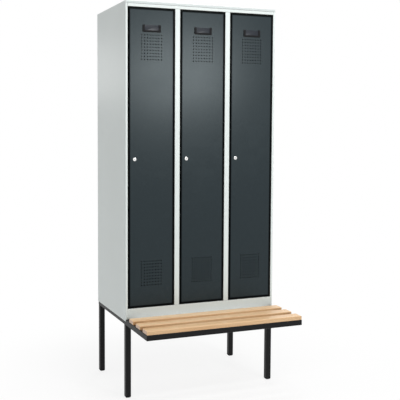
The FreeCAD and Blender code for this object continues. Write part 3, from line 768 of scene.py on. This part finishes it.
def placed_copy(pattern, place, turn=(0, 0, 0)):
    """A copy of a modelled piece with a mesh of its own, set in its place."""
    piece = pattern.copy()
    piece.data = pattern.data.copy()
    piece.location = place
    piece.rotation_euler = turn
    bpy.context.collection.objects.link(piece)
    return piece


def join_in_place(copies):
    """Joins copies into one piece whose object sits at the origin."""
    select_only(copies[0])
    for copy in copies:
        copy.select_set(True)
    bpy.ops.object.transform_apply()
    bpy.ops.object.join()
    return copies[0]


def weld_bead():
    """One ripple-marked weld along X, as long as the tube is wide, to be half sunk in a corner."""
    step = BEAD_LENGTH / BEAD_RINGS
    bpy.ops.object.select_all(action="DESELECT")
    bpy.ops.mesh.primitive_circle_add(
        vertices=BEAD_SIDES, radius=BEAD_RADIUS * BEAD_NECK, fill_type="NGON")
    bead = bpy.context.object
    bead.rotation_euler.y = QUARTER_TURN
    bead.location.x = -BEAD_LENGTH / 2
    bpy.ops.object.transform_apply()
    bpy.ops.object.mode_set(mode="EDIT")
    bpy.ops.mesh.select_all(action="SELECT")
    for ring in range(BEAD_RINGS):
        swell = 1 / BEAD_NECK if ring % 2 == 0 else BEAD_NECK
        place = Vector((step * (ring + 1) - BEAD_LENGTH / 2, 0, 0))
        bpy.ops.mesh.extrude_region_move(TRANSFORM_OT_translate={"value": (step, 0, 0)})
        bpy.ops.transform.resize(value=(1, swell, swell), center_override=place)
    bpy.ops.mesh.select_all(action="SELECT")
    bpy.ops.mesh.remove_doubles(threshold=MERGE_REACH)
    bpy.ops.mesh.normals_make_consistent(inside=False)
    bpy.ops.object.mode_set(mode="OBJECT")
    bpy.ops.object.shade_smooth_by_angle(angle=BEAD_SMOOTH_ANGLE)
    return bead


def weld_places():
    """Where the frame's tubes meet at a corner: the middle of each weld and the way that it runs."""
    places = []
    for leg in ("front_left", "front_right", "rear_left", "rear_right"):
        low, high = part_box("leg_" + leg)
        middle = (low + high) / 2
        inner = high.x if leg.endswith("left") else low.x
        places.append(((inner, middle.y, high.z), "Y"))
        places.append(((middle.x, low.y, high.z), "X"))
        if leg.startswith("front"):
            places.append(((middle.x, high.y, high.z), "X"))
    low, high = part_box("cross_rail")
    for x in (low.x, high.x):
        for y in (low.y, high.y):
            places.append(((x, y, (low.z + high.z) / 2), "Z"))
    return places


def weld_beads():
    """All welds of the tube frame, as one piece."""
    turns = {"X": (0, 0, 0), "Y": (0, 0, QUARTER_TURN), "Z": (0, QUARTER_TURN, 0)}
    pattern = weld_bead()
    beads = [placed_copy(pattern, place, turns[way]) for place, way in weld_places()]
    bpy.data.objects.remove(pattern)
    hand_over(join_in_place(beads), "frame_weld_beads", "cabinet", "black_steel")


def door_buffer():
    """One rubber buffer that the door closes on: a low button with a rounded rim, facing -Y."""
    bpy.ops.object.select_all(action="DESELECT")
    bpy.ops.mesh.primitive_cylinder_add(vertices=BUFFER_SIDES, radius=BUFFER_RADIUS, depth=BUFFER_HEIGHT)
    buffer = bpy.context.object
    buffer.rotation_euler.x = QUARTER_TURN
    bpy.ops.object.transform_apply()
    bpy.ops.object.mode_set(mode="EDIT")

    def front_rim(first, second):
        return max(first.y, second.y) < -BUFFER_HEIGHT / 2 + MERGE_REACH

    round_some_edges(buffer, front_rim, BUFFER_ROUNDING, BUFFER_STEPS)
    bpy.ops.object.shade_smooth_by_angle(angle=BUFFER_SMOOTH_ANGLE)
    return buffer


def door_buffers():
    """Two buffers to a door, on the stop lip of its lock side, as one piece."""
    pattern = door_buffer()
    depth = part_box("centre_post_left")[1].y - SHEET - BUFFER_HEIGHT / 2
    buffers = []
    for bay in BAYS:
        low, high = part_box("door_leaf_" + bay)
        for height in (low.z + BUFFER_FROM_END, high.z - BUFFER_FROM_END):
            buffers.append(placed_copy(pattern, (low.x + BUFFER_INSET, depth, height)))
    bpy.data.objects.remove(pattern)
    hand_over(join_in_place(buffers), "door_buffers", "cabinet", "black_plastic")


# Stage: a pale floor that fades into white, a white background and soft lamps

FLOOR_REACH = 30.0
FLOOR_WHITE = 0.83
FADE_START = 0.5
FADE_END = 1.6
WORLD_FILL = 0.60

# Lamps: place, the point that it faces, width and height, all in metres, and power in watts
LAMPS = {
    "overhead_softbox": ((0.5, -3.0, 4.2), (0, -0.1, 1.2), (2.0, 1.6), 86),
    "door_highlight": ((1.40, -3.70, 2.06), (-0.15, -0.1, 1.74), (0.95, 0.6), 32),
    "side_highlight": ((-1.55, 3.60, 2.05), (-0.44, 0.15, 1.74), (0.8, 0.6), 2),
    "bench_softbox": ((0, -0.32, 4.4), (0, -0.32, 0.4), (1.0, 0.3), 26),
    "rear_softbox": ((1.5, 2.9, 3.3), (0.1, 0.4, 1.5), (1.2, 1.0), 26),
}


def seen_directly(finish):
    """1 for camera, glossy and transmission rays, which meet the plain white background."""
    kinds = ("Is Camera Ray", "Is Glossy Ray", "Is Transmission Ray")
    camera, glossy, through = [finish.node("ShaderNodeLightPath", output=kind) for kind in kinds]
    return finish.math("MINIMUM", camera + glossy + through, 1.0)


def white_world():
    """A white background that lights the object with a part of its strength."""
    world = bpy.data.worlds.new("studio")
    bpy.context.scene.world = world
    finish = Finish(world)
    strength = WORLD_FILL + seen_directly(finish) * (1 - WORLD_FILL)
    finish.end_in(finish.node("ShaderNodeBackground", None, {"Color": WHITE, "Strength": strength}))


def pale_floor():
    """A matt floor that keeps the object's shadow and fades into the background further out."""
    bpy.ops.object.select_all(action="DESELECT")
    bpy.ops.mesh.primitive_plane_add(size=FLOOR_REACH, location=(0, 0, 0))
    floor = bpy.context.object
    floor.name = "studio_floor"
    finish = new_finish("studio_floor")
    far = finish.node("ShaderNodeVectorMath", {"operation": "LENGTH"}, {0: finish.place()}, "Value")
    fade = FLOOR_WHITE + (1 - FLOOR_WHITE) * finish.ramp(far, FADE_START, FADE_END)
    matt = finish.node("ShaderNodeBsdfDiffuse", None, {"Color": FLOOR_PAINT})
    white = finish.node("ShaderNodeEmission", None, {"Color": WHITE})
    floor.data.materials.append(finish.mixed_surface(fade * seen_directly(finish), matt, white))


def studio_lamps():
    for name, (place, aim, size, power) in LAMPS.items():
        lamp = bpy.data.lights.new(name, "AREA")
        lamp.shape = "RECTANGLE"
        lamp.size, lamp.size_y = size
        lamp.energy = power
        holder = bpy.data.objects.new(name, lamp)
        holder.location = place
        holder.rotation_mode = "QUATERNION"
        holder.rotation_quaternion = (Vector(aim) - Vector(place)).to_track_quat("-Z", "Y")
        bpy.context.collection.objects.link(holder)


def photo_camera():
    data = bpy.data.cameras.new("photo_camera")
    data.sensor_width = SENSOR
    data.lens = FOCAL_PIXELS / PICTURE * SENSOR
    data.shift_x = (PICTURE / 2 - AXIS_COLUMN) / PICTURE
    data.shift_y = (AXIS_ROW - PICTURE / 2) / PICTURE
    camera = bpy.data.objects.new("photo_camera", data)
    camera.location = CAMERA_PLACE
    camera.rotation_euler = (QUARTER_TURN + CAMERA_PITCH, 0, -CAMERA_YAW)
    bpy.context.collection.objects.link(camera)
    bpy.context.scene.camera = camera


dress_frame()
soften_fittings()
weld_beads()
door_buffers()
white_world()
pale_floor()
studio_lamps()
photo_camera()
bpy.context.scene.view_settings.view_transform = "Standard"
